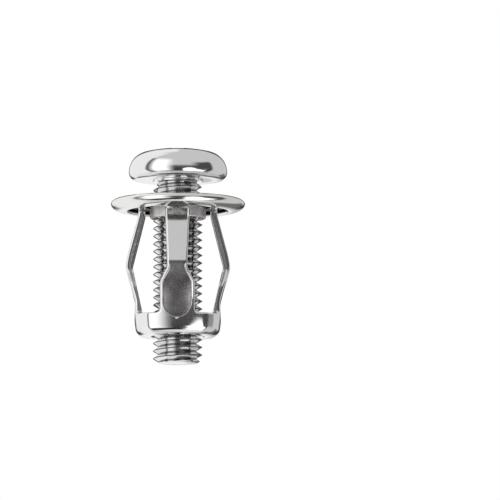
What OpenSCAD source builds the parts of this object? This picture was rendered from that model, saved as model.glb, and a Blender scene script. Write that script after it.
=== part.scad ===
// Hollow wall anchor: a pan-head screw runs through a rolled flange cap and down a
// four-legged cage into the threaded collar at its foot. Turning the screw in draws
// the collar up and folds the legs out behind the panel.
// The origin is the centre of the plane that seats on the wall. +Z points out of the
// wall, towards the screw's head, and the cage hangs below, inside the wall.

/* [Thread] */
// Diameter over the thread's crests
thread_d = 8; // [7.5:0.1:8.4]
// Distance from one crest to the next
thread_pitch = 1.25; // [1:0.25:1.5]
// Depth from crest to root
thread_depth = 0.95; // [0.6:0.05:1.1]
// Width of the flat on a crest
crest_w = 0.15; // [0.1:0.01:0.2]
// Width of the flat in a root
root_w = 0.1; // [0.05:0.01:0.2]
// Turn of the whole thread about the screw's axis
thread_turn = 95; // [0:5:360]

/* [Screw] */
// Length from the underside of the head to the tip
screw_length = 30; // [27:1:45]
// Diameter of the flat end face
tip_d = 6; // [5:0.25:6.5]
// Height of the chamfer that leads up from the tip to the crests
tip_chamfer = 0.7; // [0.4:0.1:1.5]
// Length of the plain neck under the head
neck_length = 0.3; // [0.2:0.05:0.5]
// Height that the head stands above the flange cap
head_gap = 3.1; // [0.5:0.1:5]

/* [Screw head] */
// Diameter of the head
head_d = 16; // [14:0.5:19]
// Height of the head
head_h = 5.2; // [4.8:0.1:6.5]
// Radius of the flattened crown
crown_r = 24; // [18:1:40]
// Radius of the shoulder between crown and side
shoulder_r = 3.2; // [2.6:0.1:3.4]
// Radius of the lower edge
head_edge_r = 1.3; // [0.5:0.05:1.4]
// Span of the cross recess over two opposite wings
recess_span = 9; // [7:0.5:10]
// Width of one wing of the recess
recess_wing_w = 1.8; // [1.2:0.1:2.4]
// Depth of the recess
recess_depth = 3.4; // [2.5:0.1:4]
// Diameter of the recess floor
recess_floor_d = 2.6; // [2:0.1:4]

/* [Flange cap] */
// Diameter over the rolled rim
flange_d = 21.8; // [21.2:0.1:24]
// Height from the wall to the top of the cap
flange_h = 2; // [1.9:0.1:2.6]
// Thickness of the cap's sheet
cap_t = 0.5; // [0.4:0.05:0.6]
// How far the rim curls in from the widest point to the lip
rim_curl = 2.2; // [1.8:0.1:2.4]
// Height of the rim's widest point above the wall
rim_mid_h = 1.25; // [1.1:0.05:1.5]
// How far the rim's upper edge is rounded in
rim_round = 1.5; // [0.6:0.1:1.7]
// Width of the flat ring that seats on the wall
lip_w = 0.35; // [0.2:0.05:0.5]
// Wall of the neck drawn around the screw
neck_wall = 0.4; // [0.3:0.05:0.5]
// How far the neck reaches below the seat
neck_drop = 1.2; // [0.6:0.1:2]
// Clearance all round the screw in the neck
neck_clearance = 0.15; // [0.1:0.05:0.2]

/* [Cage legs] */
// Thickness of the cage's top ring, held in the rim
ring_t = 0.8; // [0.6:0.05:0.9]
// Clearance between the top ring and the curled rim
ring_clearance = 0.08; // [0.05:0.01:0.15]
// Thickness of a leg
leg_t = 1.15; // [1:0.05:1.2]
// Outer radius of the legs where they leave the cap
leg_root_r = 6.5; // [6.3:0.1:7]
// Outer radius of the legs at the elbow
elbow_r = 8.45; // [8:0.05:9.5]
// Depth of the elbow below the seat
elbow_drop = 9.15; // [8:0.05:11]
// Width of a leg at its top
leg_top_w = 3.95; // [3.5:0.05:4.4]
// Width of a leg at its narrowest, just below the elbow
leg_waist_w = 3.2; // [2.6:0.05:3.6]
// Width of a leg below the elbow
leg_foot_w = 5.6; // [5:0.1:6.2]
// Rounding along the outer edges of a leg
leg_edge_r = 0.42; // [0.2:0.02:0.5]

/* [Collar] */
// Depth of the collar's top edge below the seat
collar_drop = 17.05; // [16:0.05:20]
// Height of the collar
collar_h = 3.4; // [3:0.05:5]
// Distance from the axis to the middle of a collar face
collar_face_r = 7.15; // [7:0.05:7.6]
// Radius of the curve across a collar face
face_curve_r = 14; // [12:1:20]
// Distance from the axis to a corner facet
facet_r = 7.75; // [7.6:0.05:7.95]
// Draft of the collar's side, at its foot
collar_draft = 0.28; // [0.1:0.02:0.4]
// Rounding around the collar's foot
collar_foot_r = 1.2; // [0.8:0.1:2]
// Running clearance all round the screw in the collar
collar_clearance = 0.05; // [0.03:0.01:0.08]
// Chamfer at the two mouths of the collar's bore
bore_chamfer = 0.3; // [0.1:0.05:0.4]

/* [Leaf recess] */
// Width of the border left beside the recess
leaf_border = 0.42; // [0.3:0.02:0.6]
// Depth of the recess at the elbow
leaf_depth = 0.12; // [0.05:0.01:0.2]
// Depth of the recess floor below the collar's face, at the collar's top edge
leaf_foot_depth = 0.55; // [0.3:0.05:0.7]
// How far the recess's rounded point runs below the collar's top edge
leaf_point_drop = 0.9; // [0.5:0.05:1.2]
// Length of the recess's rounded end
leaf_end_length = 2.75; // [2:0.05:3.2]

/* [Hidden] */
steel = [0.78, 0.78, 0.8];
zinc = [0.84, 0.84, 0.83];
pressed_zinc = [0.72, 0.73, 0.74];

leg_count = 4;
// Steps in a quarter turn of a small rounding
quarter_steps = 6;
// Steps around the thread, and rows of points in one pitch of it
thread_steps = 24;
thread_rows = 4;

thread_r = thread_d / 2;
root_r = thread_r - thread_depth;
flank_w = (thread_pitch - crest_w - root_w) / 2;
head_seat_z = flange_h + head_gap;
neck_foot_z = head_seat_z - neck_length;
tip_z = head_seat_z - screw_length;

// Centres of the head's shoulder and crown, which meet on one tangent
shoulder_x = head_d / 2 - shoulder_r;
crown_z = head_h - crown_r;
shoulder_z = crown_z + sqrt(pow(crown_r - shoulder_r, 2) - pow(shoulder_x, 2));
tangent_x = shoulder_x * crown_r / (crown_r - shoulder_r);
// The lower edge's rounding ends below the shoulder
edge_share = 0.95;
lower_edge_r = min(head_edge_r, edge_share * shoulder_z);

flange_r = flange_d / 2;
ceiling_z = flange_h - cap_t;
curl_x = flange_r - rim_curl;
round_x = flange_r - rim_round;
lip_r = curl_x - lip_w;
neck_bore_r = thread_r + neck_clearance;
neck_r = neck_bore_r + neck_wall;

ring_z = ceiling_z - ring_t;
// The rim's inner wall at the ring's lower edge, or its upper corner, sets the ring's radius
ring_rise = (rim_mid_h - ring_z) / (rim_mid_h - cap_t);
ring_low_r = curl_x + (rim_curl - cap_t) * sqrt(1 - pow(ring_rise, 2));
ring_r = min(ring_low_r, round_x) - ring_clearance;
ring_bore_r = leg_root_r - leg_t;

collar_top_z = -collar_drop;
collar_foot_z = collar_top_z - collar_h;
// Height of a leg's upright foot above the collar
leg_upright_h = 2.1;
elbow_z = -elbow_drop;
foot_z = collar_top_z + leg_upright_h;
root_z = -0.9;
waist_z = elbow_z - 0.75;
flare_z = elbow_z - 3;
// Rounding of the outline at the waist and at the end of the flare
waist_round = 0.05;
flare_round = 0.12;
flare_round_h = 0.45;
waist_round_h = 0.25;
// Half lengths of the bends at the elbow and above the collar
elbow_bend = 0.65;
foot_bend = 0.4;
// How far the bends' ends stand in from the elbow, and out from the collar's face
elbow_ease = 0.11;
foot_ease = 0.1;
// Fillets where a leg meets its ring and its collar
leg_fillet = 0.6;
// How deep a leg's foot runs into the collar, and its thickness there
leg_sink = 0.8;
leg_foot_t = leg_t + 0.4;
// How far a leg's face stands in from the collar's, at the collar's top and in its foot
leg_set_in = 0.2;
leg_foot_set_in = 0.45;
face_steps = 3;
// How far a cutting shape or a joined one runs past a face
overlap = 0.3;

leaf_top_r = elbow_r - leaf_depth;
leaf_foot_r = collar_face_r - leaf_foot_depth;
leaf_tilt = atan((leaf_top_r - leaf_foot_r) / (elbow_z - collar_top_z));

// A closed solid through rings of points that all have as many points
module loft(rings) {
    n = len(rings[0]);
    last = (len(rings) - 1) * n;
    sides = [
        for (i = [0:len(rings) - 2], j = [0:n - 1])
            let (a = i * n + j, b = i * n + (j + 1) % n)
                each [[a, b + n, b], [a, a + n, b + n]]
    ];
    foot = [[for (j = [0:n - 1]) j]];
    top = [[for (j = [n - 1:-1:0]) last + j]];
    polyhedron(points = [for (ring = rings) each ring], faces = concat(foot, top, sides));
}

// Radius of a row of thread points at height z, with the end chamfer and the run-out
function thread_row_r(row, z) =
    min(
        (row % thread_rows == 1 || row % thread_rows == 2) ? thread_r : root_r,
        tip_d / 2 + (z - tip_z) * (thread_r - tip_d / 2) / tip_chamfer,
        root_r + neck_foot_z - z
    );

// The threaded shank, as rows of points that climb a right-hand helix. Rows that
// would pass an end fall together on the end's own circle.
module threaded_shank() {
    end_z = neck_foot_z + neck_length / 2;
    end_margin = thread_pitch / 12;
    turns = ceil((end_z - tip_z) / thread_pitch) + 2;
    row_rise = [0, flank_w, flank_w + crest_w, 2 * flank_w + crest_w];
    rows = turns * thread_rows;

    function row_z(row, step) =
        tip_z + thread_pitch * (floor(row / thread_rows) - 1 + step / thread_steps)
        + row_rise[row % thread_rows];
    function at(r, step, z) =
        [r * cos(360 * step / thread_steps), r * sin(360 * step / thread_steps), z];
    function index(row, step) =
        step == thread_steps
            ? index(row + thread_rows, 0)
            : row_z(row, step) < tip_z + end_margin
                ? rows * thread_steps + step
                : row_z(row, step) > end_z - end_margin
                    ? (rows + 1) * thread_steps + step
                    : row * thread_steps + step;

    helix = [
        for (row = [0:rows - 1], step = [0:thread_steps - 1])
            let (z = row_z(row, step))
                at(thread_row_r(row, z), step, z)
    ];
    foot = [for (step = [0:thread_steps - 1]) at(tip_d / 2, step, tip_z)];
    top = [for (step = [0:thread_steps - 1]) at(root_r - neck_length / 2, step, end_z)];
    sides = [
        for (row = [0:rows - thread_rows - 2], step = [0:thread_steps - 1])
            let (
                a = index(row, step),
                b = index(row, step + 1),
                c = index(row + 1, step + 1),
                d = index(row + 1, step)
            )
                each [
                    if (a != b && b != c && a != c) [a, c, b],
                    if (a != c && c != d && a != d) [a, d, c]
                ]
    ];
    ends = [
        [for (step = [0:thread_steps - 1]) rows * thread_steps + step],
        [for (step = [thread_steps - 1:-1:0]) (rows + 1) * thread_steps + step]
    ];
    polyhedron(points = concat(helix, foot, top), faces = concat(sides, ends));
}

// What the lower edge's rounding takes off the corner between seat and side
module lower_edge_cut() {
    difference() {
        translate([0, -overlap]) square([lower_edge_r + overlap, lower_edge_r + overlap]);
        translate([0, lower_edge_r]) circle(lower_edge_r, $fn = 48);
    }
}

// Half section of the head, with its seat on the X axis
module head_section() {
    intersection() {
        translate([0, crown_z]) circle(crown_r, $fn = 96);
        union() {
            square([tangent_x, head_h]);
            intersection() {
                translate([shoulder_x, shoulder_z]) circle(shoulder_r, $fn = 64);
                translate([0, shoulder_z]) square(head_d);
            }
            difference() {
                square([head_d / 2, shoulder_z]);
                translate([head_d / 2 - lower_edge_r, 0]) lower_edge_cut();
            }
        }
    }
}

// Cross recess: two crossed slots inside a cone that narrows to the floor
module driver_recess() {
    floor_z = head_h - recess_depth;
    intersection() {
        translate([0, 0, floor_z])
            cylinder(recess_depth + overlap, d1 = recess_floor_d,
                     d2 = recess_span + overlap, $fn = 64);
        for (turn = [0, 90])
            rotate(turn)
                translate([-recess_span, -recess_wing_w / 2, floor_z])
                    cube([2 * recess_span, recess_wing_w, recess_depth + overlap]);
    }
}

module screw() {
    color(steel) {
        translate([0, 0, head_seat_z]) difference() {
            rotate_extrude($fn = 96) head_section();
            driver_recess();
        }
        translate([0, 0, neck_foot_z]) cylinder(neck_length + overlap, r = thread_r, $fn = 64);
        rotate(thread_turn) threaded_shank();
    }
}

// A quarter of an ellipse from one angle to the next, as points for a section
function quarter(x, y, rx, ry, from) = [
    for (i = [0:quarter_steps])
        let (a = from + 90 * i / quarter_steps) [x + rx * cos(a), y + ry * sin(a)]
];

module flange_cap() {
    outside = concat(
        quarter(curl_x, rim_mid_h, rim_curl, rim_mid_h, -90),
        quarter(round_x, rim_mid_h, rim_round, flange_h - rim_mid_h, 0)
    );
    neck = [
        [neck_bore_r + cap_t, flange_h],
        [neck_bore_r, ceiling_z],
        [neck_bore_r, -neck_drop],
        [neck_r - neck_wall / 2, -neck_drop],
        [neck_r, neck_wall / 2 - neck_drop],
        [neck_r, ceiling_z]
    ];
    // The inside of the rim follows the outside at the sheet's thickness
    inside = concat(
        quarter(curl_x, rim_mid_h, rim_curl - cap_t, rim_mid_h - cap_t, -90),
        quarter(round_x, rim_mid_h, rim_round - cap_t, ceiling_z - rim_mid_h, 0)
    );
    lip = [[lip_r, cap_t], [lip_r, 0]];
    color(zinc)
        rotate_extrude($fn = 128)
            polygon(concat(
                outside, neck, [for (i = [len(inside) - 1:-1:0]) inside[i]], lip
            ));
}

module cage_ring() {
    difference() {
        translate([0, 0, ring_z]) cylinder(ring_t, r = ring_r, $fn = 128);
        translate([0, 0, ring_z - overlap])
            cylinder(ring_t + 2 * overlap, r = ring_bore_r, $fn = 96);
    }
}

// Outer radius and half width of a leg by height, from the collar up to the ring
leg_outer = [
    [collar_top_z - leg_sink, collar_face_r - leg_foot_set_in],
    [collar_top_z, collar_face_r - leg_set_in],
    [foot_z - foot_bend, collar_face_r],
    [foot_z + foot_bend, collar_face_r + foot_ease],
    [elbow_z - elbow_bend, elbow_r - elbow_ease],
    [elbow_z, elbow_r],
    [elbow_z + elbow_bend, elbow_r - elbow_ease],
    [root_z, leg_root_r],
    [ring_z - leg_fillet, leg_root_r],
    [ring_z - leg_fillet / 3, leg_root_r + leg_fillet / 3],
    [ring_z, leg_root_r + leg_fillet]
];
leg_half_w = [
    [collar_top_z, leg_foot_w / 2 + leg_fillet],
    [collar_top_z + leg_fillet / 3, leg_foot_w / 2 + leg_fillet / 3],
    [collar_top_z + leg_fillet, leg_foot_w / 2],
    [flare_z, leg_foot_w / 2],
    [flare_z + flare_round_h, leg_foot_w / 2 - flare_round],
    [waist_z - waist_round_h, leg_waist_w / 2 + waist_round],
    [waist_z, leg_waist_w / 2],
    [root_z, leg_top_w / 2],
    [ring_z - leg_fillet, leg_top_w / 2],
    [ring_z - leg_fillet / 3, leg_top_w / 2 + leg_fillet / 3],
    [ring_z, leg_top_w / 2 + leg_fillet]
];
// The inner face is straight from the root to the elbow and from there to the collar
leg_inner = [
    [collar_top_z - leg_sink, collar_face_r - leg_foot_t],
    [collar_top_z, collar_face_r - leg_foot_t],
    [elbow_z, elbow_r - leg_t],
    [root_z, leg_root_r - leg_t]
];
leg_heights = [
    collar_top_z - leg_sink, collar_top_z, collar_top_z + leg_fillet / 3,
    collar_top_z + leg_fillet, foot_z - foot_bend, foot_z + foot_bend, flare_z,
    flare_z + flare_round_h, waist_z - waist_round_h, waist_z, elbow_z - elbow_bend,
    elbow_z, elbow_z + elbow_bend, root_z, ring_z - leg_fillet, ring_z - leg_fillet / 3,
    ring_z, ring_z + ring_t / 2
];

// Section of a leg at height z, for a leg that stands on the +X side
function leg_ring(z) =
    let (
        outer = lookup(z, leg_outer),
        inner = lookup(z, leg_inner),
        half = lookup(z, leg_half_w),
        edge = leg_edge_r
    )
        concat(
            [[inner, -half, z]],
            [for (a = [-90:30:0]) [outer + edge * (cos(a) - 1), edge * (1 + sin(a)) - half, z]],
            [for (a = [0:30:90]) [outer + edge * (cos(a) - 1), half - edge * (1 - sin(a)), z]],
            [[inner, half, z]]
        );

module leg() {
    loft([for (z = leg_heights) leg_ring(z)]);
}

// Outline of the collar at height z: four curved faces and four corner facets
function collar_ring(z, inset) =
    let (
        curve_r = face_curve_r - inset,
        centre_x = collar_face_r - face_curve_r,
        reach = (sqrt(2) * (facet_r - inset) - centre_x) / (sqrt(2) * curve_r),
        half_angle = 45 - acos(reach)
    )
        [
            for (side = [0:leg_count - 1], i = [-face_steps:face_steps])
                let (
                    a = half_angle * i / face_steps,
                    x = centre_x + curve_r * cos(a),
                    y = curve_r * sin(a),
                    turn = 90 * side
                )
                    [x * cos(turn) - y * sin(turn), x * sin(turn) + y * cos(turn), z]
        ];

module collar_blank() {
    loft(concat(
        [
            for (i = [0:quarter_steps])
                let (a = 90 - 90 * i / quarter_steps)
                    collar_ring(
                        collar_foot_z + collar_foot_r * (1 - sin(a)),
                        collar_draft + collar_foot_r * (1 - cos(a))
                    )
        ],
        [collar_ring(collar_top_z, 0)]
    ));
}

module collar_bore() {
    bore_r = thread_r + collar_clearance;
    mouth_r = bore_r + bore_chamfer;
    translate([0, 0, collar_foot_z - overlap])
        cylinder(collar_h + 2 * overlap, r = bore_r, $fn = 96);
    translate([0, 0, collar_foot_z]) cylinder(bore_chamfer, r1 = mouth_r, r2 = bore_r, $fn = 96);
    translate([0, 0, collar_top_z - bore_chamfer])
        cylinder(bore_chamfer, r1 = bore_r, r2 = mouth_r, $fn = 96);
}

// Half of the recess's outline, from its top down to its point, with the elbow at 0
leaf_half = let (
    waist = leg_waist_w / 2 - leaf_border,
    wide = leg_foot_w / 2 - leaf_border,
    point = collar_top_z - leaf_point_drop - elbow_z
)
    concat(
        [
            [waist, overlap],
            [waist, waist_z - elbow_z],
            [wide, flare_z - elbow_z]
        ],
        [
            for (a = [0:10:90])
                [wide * cos(a), point + leaf_end_length * (1 - sin(a))]
        ]
    );

module leaf_recess() {
    translate([leaf_top_r, 0, elbow_z])
        rotate([0, leaf_tilt, 0])
            rotate([90, 0, 90])
                linear_extrude(2 * leg_t)
                    polygon(concat(
                        leaf_half,
                        [for (i = [len(leaf_half) - 2:-1:0]) [-leaf_half[i][0], leaf_half[i][1]]]
                    ));
}

module cage() {
    color(pressed_zinc) {
        cage_ring();
        difference() {
            union() {
                collar_blank();
                for (side = [0:leg_count - 1]) rotate(90 * side) leg();
            }
            collar_bore();
            for (side = [0:leg_count - 1]) rotate(90 * side) leaf_recess();
        }
    }
}

screw();
flange_cap();
cage();
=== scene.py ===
import bisect
import logging
import math
from collections.abc import Callable, Sequence
from dataclasses import dataclass
from enum import Enum, IntEnum
from functools import partial

import bmesh
import bpy
from bmesh.types import BMEdge, BMesh, BMFace, BMVert
from bpy.types import Material, Node, NodeSocket, NodeTree, Object
from mathutils import Matrix, Vector


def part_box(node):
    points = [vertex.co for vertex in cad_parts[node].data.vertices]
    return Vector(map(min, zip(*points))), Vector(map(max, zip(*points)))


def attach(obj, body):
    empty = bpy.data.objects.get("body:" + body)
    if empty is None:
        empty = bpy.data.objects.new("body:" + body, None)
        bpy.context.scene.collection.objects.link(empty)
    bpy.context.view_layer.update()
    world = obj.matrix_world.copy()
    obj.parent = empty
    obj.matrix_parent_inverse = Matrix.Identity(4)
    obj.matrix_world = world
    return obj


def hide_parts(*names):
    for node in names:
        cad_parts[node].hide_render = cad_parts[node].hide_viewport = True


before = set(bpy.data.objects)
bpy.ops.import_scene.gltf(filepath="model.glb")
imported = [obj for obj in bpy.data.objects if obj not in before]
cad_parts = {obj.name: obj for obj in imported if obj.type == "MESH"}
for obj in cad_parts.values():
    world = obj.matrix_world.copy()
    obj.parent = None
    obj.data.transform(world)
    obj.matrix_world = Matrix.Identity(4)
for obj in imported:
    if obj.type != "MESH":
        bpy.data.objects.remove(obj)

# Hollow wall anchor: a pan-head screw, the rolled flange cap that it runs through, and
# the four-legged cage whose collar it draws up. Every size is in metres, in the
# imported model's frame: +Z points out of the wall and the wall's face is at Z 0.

MM = 0.001
MERGE_GAP = 1e-4 * MM
FULL_TURN = 2 * math.pi
QUARTER_TURN = math.pi / 2
EIGHTH_TURN = math.pi / 4
SHARP_ANGLE = math.radians(38)
SMALLEST_SINE = 1e-6
UP = Vector((0, 0, 1))
WHITE = (1, 1, 1, 1)
NUMBER = "NodeSocketFloat"
COLOUR = "NodeSocketColor"

log = logging.getLogger("anchor")

Place = Callable[[int, int], Vector]
Point = tuple[float, float]
Rgb = tuple[float, float, float]


class Part(Enum):
    """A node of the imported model, with its body and its material slot."""

    SCREW = ("screw", "screw", "screw_steel")
    CAP = ("flange_cap", "anchor", "cap_zinc")
    CAGE = ("cage", "anchor", "cage_zinc")


class CapFace(IntEnum):
    """Material numbers of the flange cap."""

    SHEET = 0
    NECK = 1
    # The cap's inside, made near black as painted shade under the rim.
    HOLLOW_SHADE = 2


class CageFace(IntEnum):
    """Material numbers of the cage."""

    SHEET = 0
    # The top ring, made near black as painted shade inside the cap.
    HOLLOW_SHADE = 1
    SHEARED = 2
    LEAF = 3


class ScrewFace(IntEnum):
    """Material numbers of the screw's shank."""

    THREAD = 0
    END = 1


# ---------------------------------------------------------------- mesh helpers


def add_patch(
    mesh: BMesh, columns: int, rows: int, place: Place, material_index: int = 0
) -> list[BMVert]:
    """Adds a grid and moves each of its vertices into place.

    Args:
        mesh: The mesh to add to.
        columns: Faces along a row.
        rows: Rows of faces.
        place: Gives the position of the vertex at a column and a row.
        material_index: Number of the finish on its faces.

    Returns:
        The new vertices, row by row.
    """
    grid = bmesh.ops.create_grid(mesh, x_segments=columns, y_segments=rows, size=1)
    for index, vert in enumerate(grid["verts"]):
        row, column = divmod(index, columns + 1)
        vert.co = place(column, row)
        for face in vert.link_faces:
            face.material_index = material_index
    return grid["verts"]


def add_turned(
    mesh: BMesh, section: Sequence[Point], steps: int, material_index: int = 0
) -> None:
    """Adds a surface of revolution about the Z axis.

    Args:
        mesh: The mesh to add to.
        section: Points of the half section, as radius and height.
        steps: Faces around the axis.
        material_index: Number of the finish on its faces.
    """
    verts = [mesh.verts.new((radius, 0, height)) for radius, height in section]
    edges = [mesh.edges.new(pair) for pair in zip(verts, verts[1:])]
    known = set(mesh.faces)
    bmesh.ops.spin(
        mesh, geom=verts + edges, cent=(0, 0, 0), axis=UP, angle=FULL_TURN,
        steps=steps, use_merge=True,
    )
    for face in mesh.faces:
        if face not in known:
            face.material_index = material_index


def open_rim(mesh: BMesh, height: float) -> list[BMEdge]:
    """Finds the open edges that lie in the plane at a height.

    Args:
        mesh: The mesh.
        height: The plane's height.

    Returns:
        The edges.
    """
    return [
        edge for edge in mesh.edges
        if edge.is_boundary and all(abs(v.co.z - height) < MERGE_GAP for v in edge.verts)
    ]


def everything(mesh: BMesh) -> list[BMVert | BMEdge | BMFace]:
    """All of a mesh's geometry, as an operator takes it."""
    return mesh.verts[:] + mesh.edges[:] + mesh.faces[:]


def move_radius(vert: BMVert, radius: float) -> None:
    """Moves a vertex straight to or from the Z axis.

    Args:
        vert: The vertex.
        radius: Its new distance from the axis.
    """
    reach = math.hypot(vert.co.x, vert.co.y)
    if reach:
        vert.co.x *= radius / reach
        vert.co.y *= radius / reach


def arc(centre: Point, radii: Point, start: float, end: float, steps: int) -> list[Point]:
    """Points on a stretch of an ellipse.

    Args:
        centre: The ellipse's centre.
        radii: Its two half axes.
        start: Angle of the first point, in degrees.
        end: Angle of the last point, in degrees.
        steps: Stretches between the points.

    Returns:
        The points, both ends included.
    """
    angles = [math.radians(start + (end - start) * i / steps) for i in range(steps + 1)]
    return [
        (centre[0] + radii[0] * math.cos(a), centre[1] + radii[1] * math.sin(a))
        for a in angles
    ]


def bent_line(z: float, knots: Sequence[tuple[float, float, float]]) -> float:
    """Value at z of a chain of straight lines with rounded bends.

    Args:
        z: Where to read the chain.
        knots: Height, value and half length of the bend at each knot, lowest first.

    Returns:
        The value, which follows a parabola inside each bend.
    """
    heights = [knot[0] for knot in knots]
    at = min(max(bisect.bisect_right(heights, z), 1), len(knots) - 1)
    (z0, v0, _), (z1, v1, _) = knots[at - 1], knots[at]
    value = v0 + (v1 - v0) * (z - z0) / (z1 - z0)
    for before, knot, after in zip(knots, knots[1:], knots[2:]):
        reach = knot[2] - abs(z - knot[0])
        if reach > 0:
            turn = (after[1] - knot[1]) / (after[0] - knot[0])
            turn -= (knot[1] - before[1]) / (knot[0] - before[0])
            value += turn * reach**2 / (4 * knot[2])
    return value


def smooth_step(x: float) -> float:
    """Rises smoothly from 0 at x 0 to 1 at x 1."""
    x = min(max(x, 0.0), 1.0)
    return x * x * (3 - 2 * x)


def spread(start: float, end: float, count: int) -> list[float]:
    """Evenly spaced values from start to end, both included, in count steps."""
    return [start + (end - start) * i / count for i in range(count + 1)]


def make_piece(mesh: BMesh, name: str, finishes: Sequence[Material], part: Part) -> Object:
    """Closes a mesh, makes it a shown piece and puts it on its body.

    Args:
        mesh: The finished mesh, which is freed.
        name: Name of the piece.
        finishes: Its materials, in the order of the faces' material numbers.
        part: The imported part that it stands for.

    Returns:
        The new object.
    """
    bmesh.ops.remove_doubles(mesh, verts=mesh.verts[:], dist=MERGE_GAP)
    bmesh.ops.dissolve_degenerate(mesh, edges=mesh.edges[:], dist=MERGE_GAP)
    bmesh.ops.recalc_face_normals(mesh, faces=mesh.faces[:])
    for face in mesh.faces:
        face.smooth = True
    for edge in mesh.edges:
        edge.smooth = edge.is_manifold and edge.calc_face_angle(0) < SHARP_ANGLE
    data = bpy.data.meshes.new(name)
    mesh.to_mesh(data)
    mesh.free()
    for finish in finishes:
        data.materials.append(finish)
    piece = bpy.data.objects.new(name, data)
    bpy.context.scene.collection.objects.link(piece)
    node, body, slot = part.value
    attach(piece, body)
    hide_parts(node)
    return piece


# ---------------------------------------------------------------- node helpers


class Wiring:
    """A node tree, with short ways to add nodes to it and to link them."""

    def __init__(self, tree: NodeTree) -> None:
        """Keeps the tree that the nodes go into."""
        self.tree = tree

    def feed(self, socket: NodeSocket, value: object) -> None:
        """Links a socket to an input, or sets the input's own value.

        Args:
            socket: The input.
            value: An output to link, or a plain value.
        """
        if isinstance(value, NodeSocket):
            self.tree.links.new(value, socket)
        else:
            socket.default_value = value

    def add(
        self, kind: str, inputs: dict[str | int, object] | None = None, **settings: object
    ) -> Node:
        """Adds a shader node.

        Args:
            kind: The node's type, without the ShaderNode in front.
            inputs: What some of its inputs get, by name or number.
            settings: Values for some of its properties.

        Returns:
            The new node.
        """
        node = self.tree.nodes.new(f"ShaderNode{kind}")
        for name, value in settings.items():
            setattr(node, name, value)
        for name, value in (inputs or {}).items():
            self.feed(node.inputs[name], value)
        return node

    def maths(self, operation: str, first: object, second: object = 0.0) -> NodeSocket:
        """Result of a Math node on sockets or numbers."""
        return self.add("Math", {0: first, 1: second}, operation=operation).outputs["Value"]

    def ramp(self, value: NodeSocket, low: float, high: float, top: float = 1) -> NodeSocket:
        """Rises from 0 to top as the value goes from low to high."""
        limits = {"Value": value, "From Min": low, "From Max": high, "To Max": top}
        return self.add("MapRange", limits).outputs["Result"]

    def mix(self, share: NodeSocket, first: object, second: object) -> NodeSocket:
        """Mixes two colours, each a socket or a value."""
        inputs = {"Factor": share, "A": first, "B": second}
        return self.add("Mix", inputs, data_type="RGBA").outputs["Result"]


class Group(Wiring):
    """A new shader node group, with what it is given."""

    def __init__(self, name: str, inputs: dict[str, str], outputs: dict[str, str]) -> None:
        """Starts the group.

        Args:
            name: The group's name.
            inputs: Names and kinds of its inputs.
            outputs: Names and kinds of its outputs.
        """
        super().__init__(bpy.data.node_groups.new(name, "ShaderNodeTree"))
        for in_out, sockets in (("INPUT", inputs), ("OUTPUT", outputs)):
            for label, kind in sockets.items():
                self.tree.interface.new_socket(label, in_out=in_out, socket_type=kind)
        self.given = self.tree.nodes.new("NodeGroupInput").outputs
        self.ends = self.tree.nodes.new("NodeGroupOutput").inputs

    def give(self, name: str, value: NodeSocket) -> None:
        """Links a value to one of the group's outputs."""
        self.tree.links.new(value, self.ends[name])


# ---------------------------------------------------------------- finishes


@dataclass(frozen=True)
class MicroRelief:
    """Group with the fine relief and the patchy dulling of a plated, formed metal.

    Grain is the orange peel that forming leaves, and scratches are short and fine.
    """

    grain_detail: float = 3
    scratch_stretch: float = 9
    scratch_detail: float = 2
    scratch_sharpness: float = 22
    patch_grains: float = 14
    patch_detail: float = 4
    patch_start: float = 0.35

    def build(self) -> NodeTree:
        """Makes the group.

        Returns:
            The group's tree.
        """
        group = Group(
            "micro_relief",
            dict.fromkeys(("Grain Size", "Scratch Size", "Dulling"), NUMBER),
            dict.fromkeys(("Grain", "Scratches", "Dull"), NUMBER),
        )
        given = group.given
        place = group.add("TexCoord").outputs["Object"]

        def noise(size: NodeSocket, stretch: float, detail: float) -> NodeSocket:
            """Adds noise in Object coordinates.

            Args:
                size: Size of its spots, in metres.
                stretch: How much they are drawn out along Z.
                detail: Detail of the noise.

            Returns:
                The noise, from 0 to 1.
            """
            scaled = group.add("Mapping", {"Scale": (1, 1, 1 / stretch), "Vector": place})
            return group.add("TexNoise", {
                "Vector": scaled.outputs["Vector"], "Detail": detail,
                "Scale": group.maths("DIVIDE", 1.0, size),
            }).outputs["Fac"]

        group.give("Grain", noise(given["Grain Size"], 1, self.grain_detail))
        streak = noise(given["Scratch Size"], self.scratch_stretch, self.scratch_detail)
        ridge = group.maths("ABSOLUTE", group.maths("SUBTRACT", streak, 0.5))
        fall = group.maths("MULTIPLY", ridge, self.scratch_sharpness)
        line = group.maths("SUBTRACT", 1.0, fall)
        group.give("Scratches", group.maths("MAXIMUM", line, 0.0))
        patch_size = group.maths("MULTIPLY", given["Grain Size"], self.patch_grains)
        patch = noise(patch_size, 1, self.patch_detail)
        rise = group.maths("SUBTRACT", patch, self.patch_start)
        dull = group.maths("MULTIPLY", rise, given["Dulling"])
        group.give("Dull", group.maths("MAXIMUM", dull, 0.0))
        return group.tree


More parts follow.
